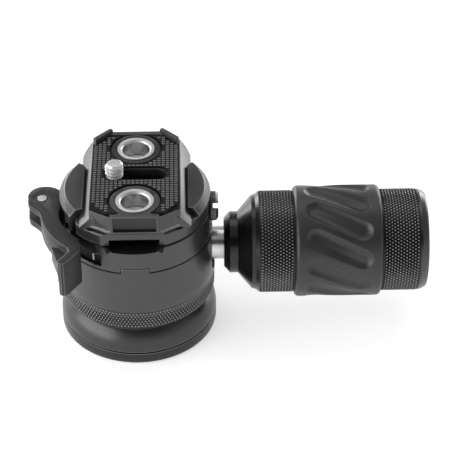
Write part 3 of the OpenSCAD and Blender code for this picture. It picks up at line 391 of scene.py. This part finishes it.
knurl = {"round": 1.2, "along": 2.06, "flat": 0.36,  # pitch both ways and width of the crests in mm
         "skin": 0.2}  # points deeper than this under the band stay
handleRing = {"axis": "X", "radius": 17.95, "height": 0.6, "bore": 14.03, "stands": True}
knurlRings = {  # stands: the ring takes the place of its node
    "inner_knurl_ring": {**handleRing, "from": 43.7, "to": 56.2},
    "outer_knurl_ring": {**handleRing, "from": 87.4, "to": 100.6},
    "lower_housing": {"axis": "Z", "from": 16.1, "to": 23.75, "radius": 27.52, "height": 0.48, "bore": 27.0,
                      "stands": False, "fadeRows": 3, "fadeRise": 0.47},
}


def alongAxis(axis, radius, station):
    point = (station, 0, axisHeight + radius) if axis == "X" else (radius, 0, station)
    return Vector(point) * mm


def knurlRing(node, ring):
    axis = ring["axis"]
    along = Vector((1, 0, 0)) if axis == "X" else Vector((0, 0, 1))
    centre = ballAxis if axis == "X" else Vector((0, 0, 0))
    low, high = ring["from"] * mm, ring["to"] * mm
    rows = round((high - low) / (knurl["along"] / 2 * mm))
    around = round(fullTurn * ring["radius"] / knurl["round"])
    step = (high - low) / rows
    points = [alongAxis(axis, ring["radius"], (low + step * i) / mm) for i in range(rows + 1)]
    points += [alongAxis(axis, ring["bore"], ring["to"]), alongAxis(axis, ring["bore"], ring["from"])]
    bm = bmesh.new()
    spinProfile(bm, points, along, centre, 2 * around)
    closeUp(bm)
    valleys, peaks = [], []
    for vert in bm.verts:
        out = vert.co - centre
        station = out.dot(along)
        out -= along * station
        if out.length < (ring["radius"] - knurl["skin"]) * mm:
            continue
        row = round((station - low) / step)
        turn = math.atan2(out.y, out.z if axis == "X" else out.x)
        column = round(turn / math.pi * around)
        fade = min(1, (rows - row) / ring["fadeRows"]) if "fadeRows" in ring else 1
        rise = ring.get("fadeRise", 0) * (1 - fade)
        if 0 < row < rows and (row + column) % 2 == 0:
            rise += ring["height"] * fade
            peaks.append(vert)
        else:
            valleys.append(vert)
        vert.co += out.normalized() * rise * mm
    bmesh.ops.connect_verts(bm, verts=valleys)
    crests = bmesh.ops.bevel(bm, geom=peaks, offset=knurl["flat"] * mm, affect="VERTICES", segments=1,
                             profile=0.5, material=-1, clamp_overlap=False)
    # the crests take slot 1, the painted highlight; the rest keeps the painted shade of the flanks
    for face in crests["faces"]:
        face.material_index = 1
    bmesh.ops.recalc_face_normals(bm, faces=bm.faces)
    addPiece(node + ".knurl", bm, node, ["knurlFlankPaintedShade", "paintedBrightHighlight"], replaced=ring["stands"])


for node, ring in knurlRings.items():
    knurlRing(node, ring)
print("knurls:", len(knurlRings))


# rubber grip with scooped slanted finger recesses

grip = {"from": 56.3, "to": 87.3, "radius": 20.0, "bore": 14.03, "edge": 1.6, "shoulder": 2.6,
        "skin": 0.4,  # points deeper than this under the surface stay
        "count": 12, "length": 25.2, "width": 7.0, "spread": 0.15, "depth": 1.3,  # the recesses
        "slant": 26, "phase": 1.2, "soft": 2.7, "around": 384, "rows": 84}
edgeAngles = (0, 0.3, 0.6, 0.9, 1.2, math.pi / 2)  # round the grip's end edges


def recessDepth(station, turn):  # 0 outside a recess, 1 on its floor
    pitch = fullTurn / grip["count"]
    middle = (grip["from"] + grip["to"]) / 2
    reach = (grip["length"] - grip["width"]) / 2
    slant = math.radians(grip["slant"])
    base = math.radians(grip["phase"])
    best = 0.0
    for k in (-1, 0, 1):
        nearest = round((turn - base) / pitch) + k
        across = (turn - base - nearest * pitch) * grip["radius"]
        lengthwise = (station - middle) * math.cos(slant) + across * math.sin(slant)
        crosswise = across * math.cos(slant) - (station - middle) * math.sin(slant)
        away = math.hypot(max(abs(lengthwise) - reach, 0), crosswise)
        inside = (grip["width"] / 2 + grip["spread"] - away) / grip["soft"]
        inside = min(max(inside, 0), 1)
        best = max(best, inside * (2 - inside))
    return best


def makeGrip():
    low, high, edge, radius = grip["from"], grip["to"], grip["edge"], grip["radius"]
    outline = [(low, radius - grip["shoulder"])]
    outline += [(low + edge * (1 - math.cos(a)), radius - edge * (1 - math.sin(a))) for a in edgeAngles]
    span = high - low - 2 * edge
    outline += [(low + edge + span * i / grip["rows"], radius) for i in range(1, grip["rows"])]
    outline += [(high - edge * (1 - math.cos(a)), radius - edge * (1 - math.sin(a))) for a in reversed(edgeAngles)]
    outline += [(high, radius - grip["shoulder"]), (high, grip["bore"]), (low, grip["bore"])]
    bm = bmesh.new()
    spinProfile(bm, [alongAxis("X", r, x) for x, r in outline], (1, 0, 0), ballAxis, grip["around"])
    closeUp(bm)
    for vert in bm.verts:
        out = Vector((0, vert.co.y, vert.co.z - ballAxis.z))
        if out.length < (radius - grip["skin"]) * mm:
            continue
        turn = math.atan2(-out.y, out.z)
        vert.co -= out.normalized() * recessDepth(vert.co.x / mm, turn) * grip["depth"] * mm
    addPiece("gripSleeve", bm, "grip_rubber", ["gripRubber"], sharpAngle=50)


makeGrip()
print("grip shaped")


# threads

threadForm = {"dip": 0.1, "rootHalf": 0.46, "crestHalf": 0.09}  # dip in mm, half widths in pitches
cameraThread = {"x": -7.0, "y": 0.7, "low": 61.5, "top": 68.2, "sink": 0.2, "core": 2.6, "crest": 3.175,
                "pitch": 1.27, "start": 62.1, "turns": 4.2, "perTurn": 40, "around": 48,
                "tip": [(0, 0.75), (0.35, 0.2), (0.9, 0.03)]}  # in from the core and down from the top
tripodThread = {"low": 0.3, "top": 9.0, "lead": 0.5, "nose": 7.0, "noseEdge": 0.3, "flange": 9.4, "ledge": 4.85,
                "root": 4.72, "crest": 3.97, "pitch": 1.5875, "start": 0.9, "turns": 4.7, "perTurn": 40,
                "around": 96}


def threadRidge(bm, thread, centre, root):  # one helical ridge, open at its ends until closeUp
    wide, narrow = thread["pitch"] * threadForm["rootHalf"], thread["pitch"] * threadForm["crestHalf"]
    start, crest = thread["start"], thread["crest"]
    section = [(root, start - wide), (crest, start - narrow), (crest, start + narrow), (root, start + wide)]
    points = [(centre + Vector((r, 0, z))) * mm for r, z in section]
    spinProfile(bm, points, (0, 0, 1), centre * mm, round(thread["turns"] * thread["perTurn"]),
                angle=fullTurn * thread["turns"], lift=(0, 0, thread["pitch"] * mm / thread["perTurn"]))


def makeCameraScrew():
    t = cameraThread
    centre = Vector((t["x"], t["y"], 0))
    bm = mergedCopy("camera_screw")
    bmesh.ops.bisect_plane(bm, geom=bm.verts[:] + bm.edges[:] + bm.faces[:], dist=weld,
                           plane_co=(0, 0, t["low"] * mm), plane_no=(0, 0, 1), clear_outer=True)
    closeUp(bm)
    shank = bmesh.new()
    foot = t["low"] - t["sink"]
    outline = [(0, foot), (t["core"], foot)]
    outline += [(t["core"] - inward, t["top"] - down) for inward, down in t["tip"]]
    outline += [(0, t["top"])]
    points = [(centre + Vector((r, 0, z))) * mm for r, z in outline]
    spinProfile(shank, points, (0, 0, 1), centre * mm, t["around"], closed=False)
    threadRidge(shank, t, centre, t["core"] - threadForm["dip"])
    closeUp(shank)
    joined = bpy.data.meshes.new("screwShank")
    shank.to_mesh(joined)
    shank.free()
    bm.from_mesh(joined)
    bpy.data.meshes.remove(joined)
    addPiece("threadedCameraScrew", bm, "camera_screw", ["stainless"], sharpAngle=35)


def makeTripodInsert():
    t = tripodThread
    centre = Vector((0, 0, 0))
    bm = bmesh.new()
    outline = [(t["root"], t["low"] + t["lead"]), (t["root"] + t["lead"], t["low"]),
               (t["nose"] - t["noseEdge"], t["low"]), (t["nose"], t["low"] + t["noseEdge"]),
               (t["nose"], t["ledge"]), (t["flange"], t["ledge"]), (t["flange"], t["top"]), (t["root"], t["top"])]
    spinProfile(bm, [Vector((r, 0, z)) * mm for r, z in outline], (0, 0, 1), centre, t["around"])
    threadRidge(bm, t, centre, t["root"] + threadForm["dip"])
    closeUp(bm)
    addPiece("threadedInsert", bm, "thread_insert", ["brass"], sharpAngle=35)


makeCameraScrew()
makeTripodInsert()
print("threads cut")


# coil spring behind the moving jaw

coil = {"from": -12.1, "to": -20.25, "radius": 2.75, "wire": 0.45, "sides": 8, "turns": 5.5, "perTurn": 28,
        "height": 49.3}


def makeCoil():
    c = coil
    bm = bmesh.new()
    rim = bmesh.ops.create_circle(bm, segments=c["sides"], radius=c["wire"] * mm)["verts"]
    bmesh.ops.rotate(bm, verts=rim, cent=(0, 0, 0), matrix=Matrix.Rotation(math.radians(90), 3, "X"))
    bmesh.ops.translate(bm, verts=rim, vec=Vector((c["from"] - c["wire"], 0, c["height"] + c["radius"])) * mm)
    steps = round(c["turns"] * c["perTurn"])
    run = (c["to"] + c["wire"]) - (c["from"] - c["wire"])
    ring = rim + list({e for v in rim for e in v.link_edges})
    bmesh.ops.spin(bm, geom=ring, cent=Vector((0, 0, c["height"])) * mm, axis=(1, 0, 0),
                   dvec=(run * mm / steps, 0, 0), angle=fullTurn * c["turns"], steps=steps)
    closeUp(bm)
    piece = addPiece("jawCoil", bm, "jaw_spring", ["stainless"], sharpAngle=50, rides=False)
    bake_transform(piece)


makeCoil()
print("coil wound")


# rubber pips on the pad, in a lighter rubber as a painted highlight

pips = {"across": 1.5, "along": 1.3, "foot": 0.56, "top": 0.46, "squash": 0.58, "height": 0.22, "sink": 0.03,
        "corner": 1.414}  # corner: from half a side to a corner
padProbe = {"above": 10, "flush": 0.05}  # the ray starts this high in mm, and may end this far off the pad's top


def makePips():
    corner, far = (Vector(c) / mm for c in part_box("plate_pad"))
    pad = bmesh.new()
    pad.from_mesh(nodes["plate_pad"].data)
    tree = BVHTree.FromBMesh(pad)
    level = far.z * mm
    flat = Matrix.Diagonal((1, pips["squash"], 1, 1))
    quarter = Matrix.Rotation(math.radians(45), 4, "Z")
    bm = bmesh.new()

    def onPad(x, y):
        hit = tree.ray_cast(Vector((x * mm, y * mm, level + padProbe["above"] * mm)), Vector((0, 0, -1)))
        return hit[0] is not None and abs(hit[0].z - level) < padProbe["flush"] * mm

    columns = math.floor((far.x - corner.x) / pips["across"])
    rows = math.floor((far.y - corner.y) / pips["along"])
    wide, deep = pips["top"], pips["top"] * pips["squash"]
    for i in range(columns + 1):
        for j in range(rows + 1):
            x = (i - columns / 2) * pips["across"] + (corner.x + far.x) / 2
            y = (j - rows / 2) * pips["along"] + (corner.y + far.y) / 2
            if not all(onPad(x + a * wide, y + b * deep) for a in (-1, 1) for b in (-1, 1)):
                continue
            place = Matrix.Translation(Vector((x, y, far.z + pips["height"] / 2 - pips["sink"])) * mm)
            bmesh.ops.create_cone(bm, cap_ends=True, segments=4, radius1=pips["foot"] * pips["corner"] * mm,
                                  radius2=pips["top"] * pips["corner"] * mm, depth=pips["height"] * mm,
                                  matrix=place @ flat @ quarter)
    pad.free()
    addPiece("padPips", bm, "plate_pad", ["pipRubberPaintedHighlight"], replaced=False)


makePips()
print("pad pips set")


# floor, light and camera

studio = {"floorSize": 6.0, "floorTone": 0.86, "floorRough": 0.9, "floorShine": 0.1, "glow": 0.46,
          "skyLow": 1.0, "skyHigh": 0.4, "fadeFrom": 0.1, "fadeTo": 0.5}  # pale at the horizon, darker overhead
lamps = {
    "overheadSoftbox": {"place": (0.05, 0.42, 0.95), "aim": (0.03, 0, 0.03), "size": (1.2, 0.5), "watts": 2.4},
    "backLeftStrip": {"place": (-0.62, 0.8, 0.14), "aim": (0, 0, 0.05), "size": (0.9, 0.35), "watts": 5.0},
    "backRightStrip": {"place": (0.68, 0.8, 0.14), "aim": (0, 0, 0.05), "size": (0.9, 0.35), "watts": 5.0},
    "leftSoftbox": {"place": (-0.95, -0.42, 0.34), "aim": (0, 0, 0.03), "size": (1.3, 1.0), "watts": 14.0},
}
frontFlag = {"centre": (0.03, 0, 0.03), "away": 0.78, "rise": 38, "size": (1.0, 0.5), "tone": 0.01}
cameraSetup = {"target": (33.56 * mm, 0, 38.17 * mm), "distance": 640 * mm, "elevation": 38.08, "azimuth": -1.47,
               "sensor": 36, "focalPixels": 1781.4, "imagePixels": 460}


def backgroundRays(tree):  # 1 for camera, glossy and transmission rays
    path = addNode(tree, "ShaderNodeLightPath")
    first = addNode(tree, "ShaderNodeMath", operation="MAXIMUM")
    both = addNode(tree, "ShaderNodeMath", operation="MAXIMUM")
    tree.links.new(path.outputs["Is Camera Ray"], first.inputs[0])
    tree.links.new(path.outputs["Is Glossy Ray"], first.inputs[1])
    tree.links.new(first.outputs["Value"], both.inputs[0])
    tree.links.new(path.outputs["Is Transmission Ray"], both.inputs[1])
    return both.outputs["Value"]


def makeFloor():
    bm = bmesh.new()
    bmesh.ops.create_grid(bm, x_segments=1, y_segments=1, size=studio["floorSize"] / 2)
    floor = addObject("studioFloor", bm)
    mat, tree, shader = newFinish("studioFloor")
    shader.inputs["Base Color"].default_value = (studio["floorTone"],) * 3 + (1,)
    shader.inputs["Roughness"].default_value = studio["floorRough"]
    shader.inputs["Specular IOR Level"].default_value = studio["floorShine"]
    shader.inputs["Emission Color"].default_value = (1, 1, 1, 1)
    lift = addNode(tree, "ShaderNodeMath", operation="MULTIPLY")
    lift.inputs[1].default_value = studio["glow"]
    tree.links.new(backgroundRays(tree), lift.inputs[0])
    tree.links.new(lift.outputs["Value"], shader.inputs["Emission Strength"])
    floor.data.materials.append(mat)


def makeSky():
    world = bpy.data.worlds.new("studioSky")
    bpy.context.scene.world = world
    world.use_nodes = True
    tree = world.node_tree
    sky = tree.nodes["Background"]
    sky.inputs["Color"].default_value = (1, 1, 1, 1)
    height = addNode(tree, "ShaderNodeSeparateXYZ")
    tree.links.new(addNode(tree, "ShaderNodeTexCoord").outputs["Generated"], height.inputs["Vector"])
    level = addNode(tree, "ShaderNodeMapRange", interpolation_type="SMOOTHSTEP")
    ends = {"From Min": "fadeFrom", "From Max": "fadeTo", "To Min": "skyLow", "To Max": "skyHigh"}
    for socket, key in ends.items():
        level.inputs[socket].default_value = studio[key]
    tree.links.new(height.outputs["Z"], level.inputs["Value"])
    tree.links.new(level.outputs["Result"], sky.inputs["Strength"])


def makeLamps():
    for name, lamp in lamps.items():
        data = bpy.data.lights.new(name, "AREA")
        data.shape = "RECTANGLE"
        data.size, data.size_y = lamp["size"]
        data.energy = lamp["watts"]
        obj = bpy.data.objects.new(name, data)
        obj.location = lamp["place"]
        obj.rotation_euler = (Vector(lamp["aim"]) - obj.location).to_track_quat("-Z", "Y").to_euler()
        bpy.context.scene.collection.objects.link(obj)


def makeFlag():  # a dark card behind the camera that only reflections show
    rise, away = math.radians(frontFlag["rise"]), frontFlag["away"]
    bm = bmesh.new()
    bmesh.ops.create_grid(bm, x_segments=1, y_segments=1, size=0.5)  # one metre square, scaled to size
    bmesh.ops.scale(bm, verts=bm.verts, vec=(*frontFlag["size"], 1))
    bmesh.ops.rotate(bm, verts=bm.verts, matrix=Matrix.Rotation(math.pi / 2 - rise, 3, "X"))
    place = Vector(frontFlag["centre"]) + Vector((0, -math.cos(rise), math.sin(rise))) * away
    bmesh.ops.translate(bm, verts=bm.verts, vec=place)
    card = addObject("frontFlag", bm)
    mat, _, shader = newFinish("frontFlag")
    shader.inputs["Base Color"].default_value = (frontFlag["tone"],) * 3 + (1,)
    shader.inputs["Roughness"].default_value = 1.0
    card.data.materials.append(mat)
    card.visible_camera = card.visible_diffuse = card.visible_transmission = card.visible_shadow = False


def makeCamera():
    data = bpy.data.cameras.new("photoCamera")
    data.sensor_width = cameraSetup["sensor"]
    data.lens = cameraSetup["focalPixels"] / cameraSetup["imagePixels"] * data.sensor_width
    camera = bpy.data.objects.new("photoCamera", data)
    turn, rise = math.radians(cameraSetup["azimuth"]), math.radians(cameraSetup["elevation"])
    back = Vector((math.sin(turn) * math.cos(rise), -math.cos(turn) * math.cos(rise), math.sin(rise)))
    camera.location = Vector(cameraSetup["target"]) + back * cameraSetup["distance"]
    camera.rotation_euler = (-back).to_track_quat("-Z", "Y").to_euler()
    bpy.context.scene.collection.objects.link(camera)
    bpy.context.scene.camera = camera


makeFloor()
makeSky()
makeLamps()
makeFlag()
makeCamera()
bpy.context.scene.view_settings.view_transform = "Standard"
print("floor, light and camera set")
